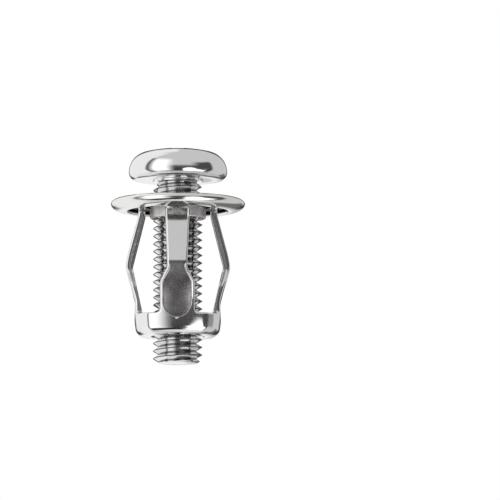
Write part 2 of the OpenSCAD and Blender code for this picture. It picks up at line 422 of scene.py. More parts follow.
@dataclass(frozen=True)
class EdgeWearCreaseShade:
    """Group that masks the rubbed outer edges, and the inner edges and creases that are
    darkened with painted shade.
    """

    spots_per_metre: float = 900
    spot_detail: float = 3
    rubbed: tuple[float, float] = (0.52, 0.6)
    creased: tuple[float, float] = (0.48, 0.4)

    def build(self) -> NodeTree:
        """Makes the group.

        Returns:
            The group's tree.
        """
        group = Group(
            "edge_wear", {"Wear": NUMBER, "Crease Shade": NUMBER}, {"Edge": NUMBER, "Crease": NUMBER}
        )
        bend = group.add("NewGeometry").outputs["Pointiness"]
        spots = group.add("TexNoise", {
            "Vector": group.add("TexCoord").outputs["Object"],
            "Scale": self.spots_per_metre, "Detail": self.spot_detail,
        }).outputs["Fac"]
        # Edge is real rubbed wear. Crease darkens concave edges as painted shade.
        for name, limits, amount in (
            ("Edge", self.rubbed, "Wear"), ("Crease", self.creased, "Crease Shade"),
        ):
            patchy = group.maths("MULTIPLY", group.ramp(bend, *limits), spots)
            group.give(name, group.maths("MULTIPLY", patchy, group.given[amount]))
        return group.tree


@dataclass(frozen=True)
class PlatedMetal:
    """A bright plated finish: grain, fine scratches, rubbed edges, and creases darkened with
    painted shade.

    Where crest_r isn't 0, it is a thread about the Z axis with painted dark reflection lines on
    its crests and painted shade in its roots.
    """

    name: str
    tint: Rgb
    stain_and_shade: Rgb
    roughness: float
    grain_size: float = 0.16 * MM
    grain_height: float = 0.0011 * MM
    scratch_height: float = 0.0006 * MM
    dulling: float = 0.14
    wear: float = 0.6
    crease_shade: float = 0.6
    crest_r: float = 0
    root_r: float = 0
    scratch_grains: float = 1.6
    stain_spread: float = 2.0
    crease_dulling: float = 0.2
    bare: Rgb = (0.97, 0.97, 0.98)
    # Near-black colour of the painted reflection lines on a thread's crests and the painted
    # shade in its roots.
    painted_thread_shade: Rgb = (0.03, 0.03, 0.032)
    crest_shade_band: tuple[float, float, float] = (-0.12 * MM, -0.04 * MM, 0.9)
    root_shade_band: tuple[float, float, float] = (0.2 * MM, 0.02 * MM, 0.75)

    def build(self, relief_group: NodeTree, wear_shade_group: NodeTree) -> Material:
        """Builds the material.

        Args:
            relief_group: The shared group micro_relief.
            wear_shade_group: The shared group edge_wear.

        Returns:
            The material.
        """
        material = bpy.data.materials.new(self.name)
        material.use_nodes = True
        wiring = Wiring(material.node_tree)
        maths = wiring.maths
        relief = wiring.add("Group", {
            "Grain Size": self.grain_size, "Dulling": self.dulling,
            "Scratch Size": self.grain_size * self.scratch_grains,
        }, node_tree=relief_group).outputs
        wear_and_shade = wiring.add(
            "Group", {"Wear": self.wear, "Crease Shade": self.crease_shade}, node_tree=wear_shade_group
        ).outputs
        tint, stain_and_shade = (*self.tint, 1), (*self.stain_and_shade, 1)
        stained = maths("MULTIPLY", relief["Dull"], self.stain_spread)
        # Creases are pulled towards the stain colour as painted shade. The dull patches take it
        # as a real stain.
        colour = wiring.mix(stained, wiring.mix(wear_and_shade["Crease"], tint, stain_and_shade), stain_and_shade)
        colour = wiring.mix(wear_and_shade["Edge"], colour, (*self.bare, 1))
        # A thread gets painted dark reflection lines on its crests and painted shade in its
        # roots.
        if self.crest_r:
            colour = self.paint_thread_shade(wiring, colour)
        creased = maths("MULTIPLY", wear_and_shade["Crease"], self.crease_dulling)
        rough = maths("ADD", maths("ADD", relief["Dull"], self.roughness), creased)
        height = maths("MULTIPLY", relief["Grain"], self.grain_height)
        cut = maths("MULTIPLY", relief["Scratches"], -self.scratch_height)
        bump = wiring.add("Bump", {"Distance": 1, "Height": maths("ADD", height, cut)})
        shader = material.node_tree.nodes["Principled BSDF"]
        for name, value in (
            ("Metallic", 1), ("Base Color", colour), ("Roughness", rough),
            ("Normal", bump.outputs["Normal"]),
        ):
            wiring.feed(shader.inputs[name], value)
        return material

    def paint_thread_shade(self, wiring: Wiring, colour: NodeSocket) -> NodeSocket:
        """Paints dark reflection lines on the thread's crests and painted shade in its roots.

        Args:
            wiring: The material's tree.
            colour: The colour so far.

        Returns:
            The darkened colour.
        """
        place = wiring.add("TexCoord").outputs["Object"]
        flat = wiring.add("VectorMath", {0: place, 1: (1, 1, 0)}, operation="MULTIPLY")
        length = wiring.add("VectorMath", {0: flat.outputs["Vector"]}, operation="LENGTH")
        for base, (start, full, share) in (
            (self.crest_r, self.crest_shade_band), (self.root_r, self.root_shade_band),
        ):
            mask = wiring.ramp(length.outputs["Value"], base + start, base + full, share)
            colour = wiring.mix(mask, colour, (*self.painted_thread_shade, 1))
        return colour


STEEL = PlatedMetal(
    "bright_steel", (0.9, 0.9, 0.9), stain_and_shade=(0.72, 0.72, 0.74), roughness=0.07,
    grain_size=0.12 * MM, grain_height=0.0006 * MM, dulling=0.1, crease_shade=0.5,
)
# The thread's dark stain colour is mostly painted shade in its creases, and its crests and
# roots get painted dark lines as well.
THREAD = PlatedMetal(
    "rolled_thread", (0.88, 0.88, 0.88), stain_and_shade=(0.16, 0.16, 0.17), roughness=0.1,
    grain_size=0.12 * MM, grain_height=0.0006 * MM, dulling=0.05, wear=0.0, crease_shade=0.4,
    crest_r=4 * MM, root_r=3.05 * MM,
)
SATIN = PlatedMetal(
    "satin_neck", (0.95, 0.92, 0.915), stain_and_shade=(0.78, 0.73, 0.72), roughness=0.48
)
# Near black: painted shade for the cap's inside and the cage's ring, which lie in the shade
# under the rim.
HOLLOW_SHADE = PlatedMetal(
    "painted_shade_hollow", (0.03, 0.03, 0.03), stain_and_shade=(0.01, 0.01, 0.01), roughness=0.4, wear=0.1
)
CAP = PlatedMetal(
    "rolled_zinc", (0.9, 0.9, 0.89), stain_and_shade=(0.7, 0.68, 0.66), roughness=0.13,
    scratch_height=0.0009 * MM,
)
ZINC = PlatedMetal(
    "pressed_zinc", (0.9, 0.895, 0.89), stain_and_shade=(0.7, 0.68, 0.67), roughness=0.08,
    scratch_height=0.0009 * MM,
)
SHEARED = PlatedMetal(
    "sheared_edge", (0.46, 0.46, 0.46), stain_and_shade=(0.16, 0.16, 0.17), roughness=0.36,
    grain_size=0.1 * MM, grain_height=0.003 * MM, scratch_height=0.012 * MM,
    dulling=0.5, wear=0.2, crease_shade=0.4,
)
LEAF = PlatedMetal(
    "tarnished_leaf", (0.86, 0.83, 0.85), stain_and_shade=(0.7, 0.56, 0.62), roughness=0.16,
    grain_size=0.2 * MM, dulling=0.3,
)


# ---------------------------------------------------------------- screw


@dataclass
class Screw:
    """The pan-head screw: its head with the cross recess, and its threaded shank."""

    finish: Material
    thread_finish: Material
    head_h: float = 5.156 * MM
    crown_r: float = 24 * MM
    shoulder_r: float = 3.2 * MM
    edge_r: float = 1.3 * MM
    thread_r: float = 4.0 * MM
    thread_depth: float = 0.95 * MM
    pitch: float = 1.25 * MM
    thread_turn: float = math.radians(120)
    neck_length: float = 0.3 * MM
    neck_fillet: float = 0.15 * MM
    neck_sunk: float = 0.1 * MM
    seam_gap: float = 0.001 * MM
    recess_reach: float = 4.5 * MM
    recess_half_w: float = 0.9 * MM
    recess_depth: float = 3.4 * MM
    recess_floor_r: float = 1.3 * MM
    recess_corner: float = 0.18 * MM
    recess_brow: float = 0.15 * MM
    recess_zone_r: float = 5.3 * MM
    tip_r: float = 3.0 * MM
    tip_chamfer: float = 0.7 * MM
    tip_dome: float = 0.14 * MM
    corner_shares: tuple[float, ...] = (0, 0.25, 0.5, 0.7, 0.84, 0.94, 1, 1.06, 1.16, 1.3)
    flank_start: float = 1.5
    flank_steps: int = 14
    shoulder_steps: int = 30
    edge_steps: int = 14
    crown_steps: int = 8
    zone_steps: int = 8
    brow_steps: int = 4
    wall_steps: int = 14
    turn_steps: int = 120
    end_rings: int = 6
    spare_turns: int = 2

    def __post_init__(self) -> None:
        """Reads the head's top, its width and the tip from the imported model."""
        low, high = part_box("screw")
        self.apex_z = high.z
        self.tip_z = low.z
        self.head_r = high.x
        self.seat_z = self.apex_z - self.head_h
        self.neck_foot_z = self.seat_z - self.neck_length
        self.root_r = self.thread_r - self.thread_depth

    def crown_height(self, radius: float) -> float:
        """Height of the crown's sphere at a distance from the axis."""
        return self.apex_z - self.crown_r + math.sqrt(self.crown_r**2 - radius**2)

    def head_section(self) -> list[Point]:
        """Half section of the head, from under the neck out to the recess's zone.

        Returns:
            Its points, as radius and height. The shoulder is raised a little at its
            foot, where it meets the lower edge's arc.
        """
        shoulder_x = self.head_r - self.shoulder_r
        centre_z = self.apex_z - self.crown_r
        shoulder_z = centre_z + math.sqrt((self.crown_r - self.shoulder_r) ** 2 - shoulder_x**2)
        tangent = math.degrees(math.atan2(shoulder_z - centre_z, shoulder_x))
        start = math.degrees(math.acos(self.recess_zone_r / self.crown_r))
        steps = self.shoulder_steps
        shoulder = arc(
            (shoulder_x, shoulder_z), (self.shoulder_r, self.shoulder_r), 0, tangent, steps
        )
        edge_z = self.seat_z + self.edge_r
        fillet = self.neck_fillet
        return [
            (0, self.neck_foot_z),
            (self.root_r, self.neck_foot_z),
            (self.thread_r, self.neck_foot_z),
            *arc(
                (self.thread_r + fillet, self.seat_z - fillet), (fillet, fillet), 180, 90,
                steps=3,
            ),
            ((self.thread_r + self.head_r) / 2, self.seat_z),
            *arc(
                (self.head_r - self.edge_r, edge_z), (self.edge_r, self.edge_r), -90, 0,
                self.edge_steps,
            ),
            *[
                (radius, height + (edge_z - shoulder_z) * (1 - step / steps) ** 2)
                for step, (radius, height) in enumerate(shoulder)
            ],
            *arc(
                (0, centre_z), (self.crown_r, self.crown_r), tangent, start, self.crown_steps
            )[1:],
        ]

    def recess_angles(self) -> list[float]:
        """Angles of the points around the recess, closer together at a wing's corners.

        Returns:
            The angles of one full turn, both ends included.
        """
        corner = math.atan2(self.recess_half_w, self.recess_reach)
        near = [corner * share for share in self.corner_shares]
        octant = near + spread(corner * self.flank_start, EIGHTH_TURN, self.flank_steps)
        half = octant + [QUARTER_TURN - a for a in reversed(octant[:-1])]
        return [a + QUARTER_TURN * side for side in range(4) for a in half[:-1]] + [FULL_TURN]

    def recess_radius(self, angle: float, depth: float, grow: float) -> float:
        """Distance from the axis to the recess's wall.

        Args:
            angle: Angle about the axis.
            depth: Depth below the crown.
            grow: How far the outline is moved outwards.

        Returns:
            The distance, with the wings' corners a little rounded.
        """
        share = depth / self.recess_depth
        tip = self.recess_reach + (self.recess_floor_r - self.recess_reach) * share + grow
        lean = abs((angle + EIGHTH_TURN) % QUARTER_TURN - EIGHTH_TURN)
        side = (self.recess_half_w + grow) / max(math.sin(lean), SMALLEST_SINE)
        blend = max(self.recess_corner - abs(tip - side), 0) / self.recess_corner
        return min(tip, side) - blend**2 * self.recess_corner / 4

    def zone_point(self, share: float, angle: float) -> Point:
        """Point of the crown between the round zone's rim and the recess's brow.

        Args:
            share: 0 at the zone's rim, 1 at the brow.
            angle: Angle about the axis.

        Returns:
            Its radius and height.
        """
        rim = self.recess_radius(angle, 0, self.recess_brow)
        radius = self.recess_zone_r + (rim - self.recess_zone_r) * share
        return radius, self.crown_height(radius)

    def brow_point(self, share: float, angle: float) -> Point:
        """Point of the rounded edge around the recess.

        Args:
            share: 0 at the crown, 1 at the recess's wall.
            angle: Angle about the axis.

        Returns:
            Its radius and height.
        """
        turn = QUARTER_TURN * share
        radius = self.recess_radius(angle, 0, self.recess_brow * (1 - math.sin(turn)))
        return radius, self.crown_height(radius) - self.recess_brow * (1 - math.cos(turn))

    def wall_point(self, share: float, angle: float) -> Point:
        """Point of the recess's wall.

        Args:
            share: 0 at the brow, 1 at the floor.
            angle: Angle about the axis.

        Returns:
            Its radius and height.
        """
        start = self.crown_height(self.recess_radius(angle, 0, 0)) - self.recess_brow
        floor = self.apex_z - self.recess_depth
        radius = self.recess_radius(angle, self.recess_depth * share, 0)
        return radius, start + (floor - start) * share

    def build_head(self) -> Object:
        """Makes the head, one patch from the neck up and over into the recess.

        Returns:
            The piece.
        """
        angles = self.recess_angles()
        rows: list[Callable[[float], Point]] = [
            lambda _, point=point: point for point in self.head_section()
        ]
        for steps, point_at in (
            (self.zone_steps, self.zone_point),
            (self.brow_steps, self.brow_point),
            (self.wall_steps, self.wall_point),
        ):
            rows += [partial(point_at, step / steps) for step in range(1, steps + 1)]
        rows.append(lambda _: (0, self.apex_z - self.recess_depth))

        def place(column: int, row: int) -> Vector:
            """Position of the head's vertex.

            Args:
                column: Column, which gives the angle.
                row: Row, 0 on the axis under the neck.

            Returns:
                The position.
            """
            angle = angles[column]
            radius, height = rows[row](angle)
            return Vector((radius * math.cos(angle), radius * math.sin(angle), height))

        mesh = bmesh.new()
        add_patch(mesh, len(angles) - 1, len(rows) - 1, place)
        return make_piece(mesh, "screw_head", (self.finish,), Part.SCREW)

    def thread_profile(self) -> list[Point]:
        """One pitch of the thread's profile, from the middle of a root to the next.

        Returns:
            Its points, as radius and height, but for the last root.
        """
        # Each pair is a share of the pitch and a share of the thread's depth.
        rounded_root = ((0, 0), (0.02, 0.006), (0.04, 0.03), (0.06, 0.068), (0.08, 0.112))
        flank = ((0.2, 0.386), (0.32, 0.66))
        rounded_crest = ((0.4, 0.842), (0.44, 0.932), (0.46, 0.97), (0.48, 0.994), (0.5, 1))
        half = [
            (self.root_r + (self.thread_r - self.root_r) * rise, self.pitch * along)
            for along, rise in rounded_root + flank + rounded_crest
        ]
        return half + [(radius, self.pitch - z) for radius, z in reversed(half[1:-1])]

    def radius_limit(self, z: float) -> float:
        """Largest radius of the shank at a height.

        Args:
            z: Height.

        Returns:
            The radius, from the tip's chamfer and the run-out's cone.
        """
        slope = (self.thread_r - self.tip_r) / self.tip_chamfer
        tip = self.tip_r + max(z - self.tip_z, 0) * slope
        return min(self.thread_r, tip, max(self.root_r + self.neck_foot_z - z, self.root_r))

    def close_end(self, mesh: BMesh, rim: list[BMEdge], dome: float) -> None:
        """Closes an end of the shank with rings that shrink onto the axis.

        Args:
            mesh: The shank's mesh.
            rim: The open edges around the end.
            dome: How far the middle of the end stands out below the rim.
        """
        base = rim[0].verts[0].co.z
        for ring in range(1, self.end_rings + 1):
            shrink = math.cos(QUARTER_TURN * ring / self.end_rings)
            made = bmesh.ops.extrude_edge_only(mesh, edges=rim)["geom"]
            rim = [item for item in made if isinstance(item, BMEdge) and item.is_boundary]
            for item in made:
                if isinstance(item, BMVert):
                    move_radius(item, min(self.tip_r, self.root_r) * shrink)
                    item.co.z = base - dome * (1 - shrink**2)
                elif isinstance(item, BMFace):
                    item.material_index = ScrewFace.END

    def build_shank(self) -> Object:
        """Makes the shank by turning a comb of profiles once about the axis, rising.

        Returns:
            The piece.
        """
        mesh = bmesh.new()
        turns = math.ceil((self.neck_foot_z - self.tip_z) / self.pitch) + 2 * self.spare_turns
        start = self.tip_z - self.spare_turns * self.pitch
        comb = [
            mesh.verts.new((radius, 0, start + turn * self.pitch + z))
            for turn in range(turns)
            for radius, z in self.thread_profile()
        ]
        edges = [mesh.edges.new(pair) for pair in zip(comb, comb[1:])]
        bmesh.ops.spin(
            mesh, geom=comb + edges, cent=(0, 0, 0), axis=UP, angle=FULL_TURN,
            dvec=UP * (self.pitch / self.turn_steps), steps=self.turn_steps, use_merge=False,
        )
        bmesh.ops.remove_doubles(mesh, verts=mesh.verts[:], dist=self.seam_gap)
        turn = Matrix.Rotation(self.thread_turn, 3, "Z")
        bmesh.ops.rotate(mesh, cent=(0, 0, 0), matrix=turn, verts=mesh.verts[:])
        for height, normal, dome in (
            (self.tip_z + self.tip_dome, -UP, self.tip_dome),
            (self.neck_foot_z + self.neck_sunk, UP, 0),
        ):
            bmesh.ops.bisect_plane(
                mesh, geom=everything(mesh), plane_co=(0, 0, height), plane_no=normal,
                clear_outer=True,
            )
            self.close_end(mesh, open_rim(mesh, height), dome)
        for vert in mesh.verts:
            limit = self.radius_limit(vert.co.z)
            if math.hypot(vert.co.x, vert.co.y) > limit:
                move_radius(vert, limit)
        finishes = (self.thread_finish, self.finish)
        return make_piece(mesh, "screw_shank", finishes, Part.SCREW)


# ---------------------------------------------------------------- flange cap


@dataclass
class FlangeCap:
    """The rolled cap: a flat top, a curled rim and a neck drawn around the screw."""

    finish: Material
    neck_finish: Material
    hollow_shade_finish: Material
    sheet_t: float = 0.5 * MM
    rim_curl: float = 2.2 * MM
    rim_mid_h: float = 1.25 * MM
    rim_round: float = 1.5 * MM
    lip_w: float = 0.35 * MM
    neck_bore_r: float = 4.15 * MM
    neck_wall: float = 0.4 * MM
    turn_steps: int = 288

    def build(self) -> Object:
        """Turns the cap's section about the axis.

        Returns:
            The piece.
        """
        low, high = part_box("flange_cap")
        top, rim_r, foot = high.z, high.x, low.z
        t, mid = self.sheet_t, self.rim_mid_h
        curl_x = rim_r - self.rim_curl
        round_x = rim_r - self.rim_round
        neck_r = self.neck_bore_r + self.neck_wall
        lip = self.neck_wall / 2
        outside = (
            arc((curl_x, mid), (self.rim_curl, mid), -90, 0, steps=24)
            + arc((round_x, mid), (self.rim_round, top - mid), 0, 90, steps=14)[1:]
        )
        mouth = arc((self.neck_bore_r + t, top - t), (t, t), 90, 180, steps=10)
        neck = arc((self.neck_bore_r + lip, foot + lip), (lip, lip), 180, 360, steps=10)
        root = arc((neck_r + t, top - 2 * t), (t, t), 180, 90, steps=8)
        inside = (
            arc((round_x, mid), (self.rim_round - t, top - t - mid), 90, 0, steps=10)
            + arc((curl_x, mid), (self.rim_curl - t, mid - t), 0, -90, steps=18)[1:]
        )
        edge = arc((curl_x - self.lip_w, t / 2), (t / 2, t / 2), 90, 270, steps=10)
        mesh = bmesh.new()
        for section, face in (
            (edge + outside + mouth, CapFace.SHEET),
            (mouth[-1:] + neck + root, CapFace.NECK),
            # The cap's inside takes the near-black painted shade.
            (root[-1:] + inside + edge[:1], CapFace.HOLLOW_SHADE),
        ):
            add_turned(mesh, section, self.turn_steps, face)
        finishes = (self.finish, self.neck_finish, self.hollow_shade_finish)
        return make_piece(mesh, "flange_cap_shell", finishes, Part.CAP)


# ---------------------------------------------------------------- cage


@dataclass
class Cage:
    """The cage: a top ring held in the rim, four legs and the collar at their feet.

    The quarter around the leg on the +X side is worked out as patches that meet edge
    to edge, and is then repeated about the axis. Across a leg runs Y, and its outline
    is the curve down its side, round the fillet and along the collar's top edge.
    """

    finish: Material
    hollow_shade_finish: Material
    sheared_finish: Material
    leaf_finish: Material
    face_r: float = 7.1 * MM
    face_curve_r: float = 14 * MM
    facet_r: float = 7.75 * MM
    facet_fillet: float = 2.0 * MM
    foot_r: float = 1.2 * MM
    draft: float = 0.035
    draft_rise: float = 0.6 * MM
    barrel_r: float = 25 * MM
    bore_r: float = 4.05 * MM
    bore_chamfer: float = 0.3 * MM
    collar_h: float = 3.4 * MM
    elbow_z: float = -9.15 * MM
    elbow_r: float = 8.49 * MM
    elbow_bend: float = 0.45 * MM
    upright_h: float = 2.1 * MM
    foot_bend: float = 0.6 * MM
    shoulder_rise: float = 1.3 * MM
    shoulder_out: float = 0.16 * MM
    shoulder_bend: float = 1.2 * MM
    root_z: float = -0.7 * MM
    root_r: float = 6.4 * MM
    root_bend: float = 0.5 * MM
    ring_z: float = 0.7 * MM
    ring_edge: float = 0.15 * MM
    ring_inset: float = 0.1 * MM
    leg_t: float = 1.13 * MM
    leg_foot_t: float = 1.5 * MM
    edge_r: float = 0.34 * MM
    back_edge_r: float = 0.08 * MM
    fillet: float = 0.6 * MM
    top_w: float = 3.95 * MM
    waist_w: float = 3.2 * MM
    foot_w: float = 5.6 * MM
    waist_drop: float = 0.75 * MM
    waist_bend: float = 0.4 * MM
    flare_drop: float = 3.0 * MM
    flare_bend: float = 0.5 * MM
    leaf_border: float = 0.4 * MM
    leaf_depth: float = 0.12 * MM
    leaf_foot_depth: float = 0.55 * MM
    leaf_point_drop: float = 0.9 * MM
    leaf_end: float = 2.8 * MM
    leaf_start: float = 2.0 * MM
    leaf_floor_share: float = 0.95
    leaf_dish: float = 0.06 * MM
    burnish_share: float = 0.24
    floor_columns: int = 14
    wall_columns: int = 9
    border_columns: int = 8
    round_columns: int = 8
    back_columns: int = 4
    back_edge_columns: int = 3
    face_columns: int = 5
    facet_round_columns: int = 8
    facet_columns: int = 2
    row_gap: float = 0.012 * MM
    bore_steps: int = 128
    ring_steps: int = 192
    ring_edge_steps: int = 5

    def __post_init__(self) -> None:
        """Reads the collar's foot and the ring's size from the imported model."""
        low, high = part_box("cage")
        self.foot_z = low.z
        self.ring_top = high.z
        self.ring_r = high.x
        self.top_z = self.foot_z + self.collar_h
        self.split_z = self.top_z - self.edge_r
        self.ring_bore_r = self.root_r - self.leg_t - self.ring_inset
        self.bend_z = self.top_z + self.upright_h
        self.leaf_point_z = self.top_z - self.leaf_point_drop
        self.leaf_end_z = self.leaf_point_z + self.leaf_end
        self.half_foot = self.foot_w / 2
        self.half_leaf = self.half_foot - self.leaf_border
        self.corner_y = self.half_foot + self.fillet
        self.leg_columns = self.floor_columns + self.wall_columns + self.border_columns
        self.side_columns = self.face_columns + self.facet_round_columns + self.facet_columns
        self.lay_out_leg()

    def lay_out_leg(self) -> None:
        """Sets the knots of the leg's outer face, of its inner face and of its width."""
        slope = (self.elbow_r - self.root_r) / (self.root_z - self.elbow_z)
        shoulder_r = self.elbow_r - slope * self.shoulder_rise + self.shoulder_out
        foot_inner = self.face_r - self.leg_foot_t
        root_inner = self.root_r - self.leg_t
        self.outer_knots = (
            (self.foot_z, self.face_r, 0),
            (self.bend_z, self.face_r, self.foot_bend),
            (self.elbow_z, self.elbow_r, self.elbow_bend),
            (self.elbow_z + self.shoulder_rise, shoulder_r, self.shoulder_bend),
            (self.root_z, self.root_r, self.root_bend),
            (self.ring_top, self.root_r, 0),
        )
        self.inner_knots = (
            (self.foot_z, foot_inner, 0),
            (self.top_z, foot_inner, 0),
            (self.elbow_z, self.elbow_r - self.leg_t, self.elbow_bend),
            (self.root_z, root_inner, self.root_bend),
            (self.ring_top, root_inner, 0),
        )
        self.width_knots = (
            (self.foot_z, self.half_foot, 0),
            (self.elbow_z - self.flare_drop, self.half_foot, self.flare_bend),
            (self.elbow_z - self.waist_drop, self.waist_w / 2, self.waist_bend),
            (self.root_z, self.top_w / 2, self.foot_bend),
            (self.ring_top, self.top_w / 2, 0),
        )

    def spread_at_ring(self, z: float) -> float:
        """How far a leg spreads out at a height by the fillet under the ring."""
        rise = max(z - (self.ring_z - self.fillet), 0)
        return self.fillet - math.sqrt(max(self.fillet**2 - rise**2, 0))

    def outer(self, z: float) -> float:
        """Distance from the axis to the middle of a leg's outer face, at a height."""
        return bent_line(z, self.outer_knots) + self.spread_at_ring(z)

    def inner(self, z: float) -> float:
        """Distance from the axis to a leg's inner face, at a height."""
        return bent_line(z, self.inner_knots)

    def half_width(self, z: float) -> float:
        """Half the width of a leg at a height, without the fillet at its foot."""
        return bent_line(z, self.width_knots) + self.spread_at_ring(z)

    def outline(self, z: float) -> tuple[float, float, float, float]:
        """The outline's point whose inner edge is at a height, and its inward direction.

        Args:
            z: Height of the point where the edge's rounding starts.

        Returns:
            Y and Z of the point on the outline, and Y and Z of the inward direction.
        """
        drop = self.top_z + self.fillet - z
        if drop <= 0:
            return self.half_width(z), z, -1, 0
        sine = min(drop / (self.fillet + self.edge_r), 1)
        cosine = math.sqrt(1 - sine**2)
        y = self.corner_y - self.fillet * cosine
        return y, self.top_z + self.fillet * (1 - sine), -cosine, -sine

    def flat_half(self, z: float) -> float:
        """Half the width of the outer face inside its rounded edges."""
        y, _, inward, _ = self.outline(z)
        return y + inward * self.edge_r

    def inset(self, z: float) -> float:
        """How far the collar's side stands in from its widest outline.

        Args:
            z: Height.

        Returns:
            The sum of the side's draft and of the foot's rounding.
        """
        sine = 1 - min((z - self.foot_z) / self.foot_r, 1)
        rounding = self.foot_r * (1 - math.sqrt(max(1 - sine**2, 0)))
        fall = max(self.top_z + self.draft_rise - z, 0)
        return self.draft * fall + fall**2 / (2 * self.barrel_r) + rounding

    def bow(self, z: float) -> float:
        """How strongly a leg's face is bowed across, 1 as on the collar and 0 for flat."""
        return 1 - smooth_step((z - self.bend_z) / (self.elbow_z - self.bend_z))

    def skin(self, y: float, z: float, depth: float) -> Vector:
        """Point at a depth under the outer face.

        Args:
            y: Distance from the leg's middle line.
            z: Height.
            depth: Depth under the face.

        Returns:
            The point.
        """
        curve = self.face_curve_r - self.inset(z) - depth
        sag = curve - math.sqrt(curve**2 - y**2)
        return Vector((self.outer(z) - self.inset(z) - depth - sag * self.bow(z), y, z))

    def leaf_half(self, z: float, share: float = 1) -> float:
        """Half the width of the leaf recess.

        Args:
            z: Height.
            share: 1 at its brow, leaf_floor_share at its floor.

        Returns:
            The half width, 0 below the leaf's point.
        """
        reach = self.leaf_end * share
        if z <= self.leaf_end_z - reach:
            return 0
        if z < self.leaf_end_z:
            return self.half_leaf * share * math.sqrt(1 - ((self.leaf_end_z - z) / reach) ** 2)
        return (self.half_width(z) - self.leaf_border) * share

    def leaf_sink(self, y: float, z: float) -> float:
        """Depth of the leaf recess below the outer face.

        Args:
            y: Distance from the leg's middle line.
            z: Height.

        Returns:
            The depth, 0 outside the recess.
        """
        if z >= self.elbow_z or z <= self.leaf_point_z:
            return 0
        if z < self.leaf_end_z:
            across = math.hypot(y / self.half_leaf, (self.leaf_end_z - z) / self.leaf_end)
        else:
            across = abs(y) / self.leaf_half(z)
        top_r = self.elbow_r - self.leaf_depth
        foot_r = self.face_r - self.leaf_foot_depth
        slope = (top_r - foot_r) / (self.elbow_z - self.top_z)
        floor = self.skin(0, z, 0).x - top_r + slope * (self.elbow_z - z)
        dish = self.leaf_dish * max(1 - across**2, 0)
        wall = smooth_step((1 - across) / (1 - self.leaf_floor_share))
        start = smooth_step((self.elbow_z - z) / self.leaf_start)
        return (floor + dish) * wall * start

    def collar_side(self, column: int, z: float, depth: float) -> Vector:
        """Point of the collar's side between a leg's corner and a facet's middle.

        Args:
            column: 0 at the leg's corner, side_columns at the facet's middle.
            z: Height.
            depth: Depth under the side.

        Returns:
            The point, on the side's face, its rounded edge or the facet.
        """
        inset = self.inset(z) + depth
        centre = Vector((self.face_r - self.face_curve_r, 0))
        curve = self.face_curve_r - inset
        facet = self.facet_r - inset
        outward = Vector((1, 1)).normalized()
        along = Vector((1, -1)).normalized()
        middle = centre.x * outward.x
        reach = facet - self.facet_fillet
        slide = middle + math.sqrt((curve - self.facet_fillet) ** 2 - (reach - middle) ** 2)
        pivot = reach * outward + slide * along
        start = (pivot - centre).normalized()
        if column <= self.face_columns:
            end_y = centre.y + start.y * curve
            y = self.corner_y + (end_y - self.corner_y) * column / self.face_columns
            return Vector((centre.x + math.sqrt(curve**2 - y**2), y, z))
        column -= self.face_columns
        if column <= self.facet_round_columns:
            first = math.atan2(start.y, start.x)
            angle = first + (EIGHTH_TURN - first) * column / self.facet_round_columns
            point = pivot + self.facet_fillet * Vector((math.cos(angle), math.sin(angle)))
        else:
            column -= self.facet_round_columns
            end = pivot + self.facet_fillet * outward
            point = end.lerp(facet * outward, column / self.facet_columns)
        return Vector((point.x, point.y, z))

    def face_rows(self) -> list[float]:
        """Heights of the rows from the collar's foot up to the ring.

        Returns:
            The heights, closer together where the outline or the leaf's edge bends.
        """
        # The round stretches, each with its top, its radius and its number of steps.
        foot, point, corner = (
            [top - radius * math.cos(a) for a in spread(0, QUARTER_TURN, steps)]
            for top, radius, steps in (
                (self.foot_z + self.foot_r, self.foot_r, 14),
                (self.leaf_end_z, self.leaf_end, 26),
                (self.top_z + self.fillet, self.fillet + self.edge_r, 12),
            )
        )
        ring = [
            self.ring_z - self.fillet * (1 - math.sin(a)) for a in spread(0, QUARTER_TURN, 8)
        ]
        flare_top = self.elbow_z - self.flare_drop - self.flare_bend
        waist_top = self.elbow_z - self.waist_drop + self.waist_bend
        shoulder_top = self.elbow_z + 2 * self.shoulder_rise
        marks = foot[:-1] + point + corner
        # The straight stretches, each with its low end, its high end and its steps.
        for low, high, steps in (
            (self.foot_z + self.foot_r, self.split_z, 4),
            (self.leaf_end_z, self.bend_z + self.foot_bend, 8),
            (self.bend_z + self.foot_bend, flare_top, 6),
            (flare_top, waist_top, 24),
            (waist_top, self.elbow_z + self.elbow_bend, 12),
            (self.elbow_z + self.elbow_bend, shoulder_top, 14),
            (shoulder_top, self.root_z - self.root_bend, 6),
            (self.root_z - self.root_bend, self.ring_z - self.fillet, 14),
        ):
            marks += spread(low, high, steps)
        rows: list[float] = []
        for z in sorted(marks):
            if not rows or z - rows[-1] > self.row_gap:
                rows.append(z)
        nearest = min(range(len(rows)), key=lambda i: abs(rows[i] - self.split_z))
        rows[nearest] = self.split_z
        return rows[:-1] + ring

    def add_face(self, mesh: BMesh, rows: list[float]) -> None:
        """Adds the outer face, from the collar's foot up the leg, with the leaf recess.

        Args:
            mesh: The mesh to add to.
            rows: Heights of its rows.
        """
        def floor_half(z: float) -> float:
            """Half the width of the leaf's floor at a height."""
            return self.leaf_half(z, self.leaf_floor_share)

        def place(column: int, row: int) -> Vector:
            """Position of the face's vertex at a column and a row.

            Args:
                column: Column, 0 at the leg's -Y edge.
                row: Row, 0 at the collar's foot.

            Returns:
                The position.
            """
            z = rows[row]
            offset = column - self.leg_columns
            step = abs(offset)
            floor, brow, edge = floor_half(z), self.leaf_half(z), self.flat_half(z)
            if step <= self.floor_columns:
                y = floor * step / self.floor_columns
            elif step <= self.floor_columns + self.wall_columns:
                y = floor + (brow - floor) * (step - self.floor_columns) / self.wall_columns
            else:
                step -= self.floor_columns + self.wall_columns
                y = brow + (edge - brow) * step / self.border_columns
            y = math.copysign(y, offset)
            return self.skin(y, z, self.leaf_sink(y, z))

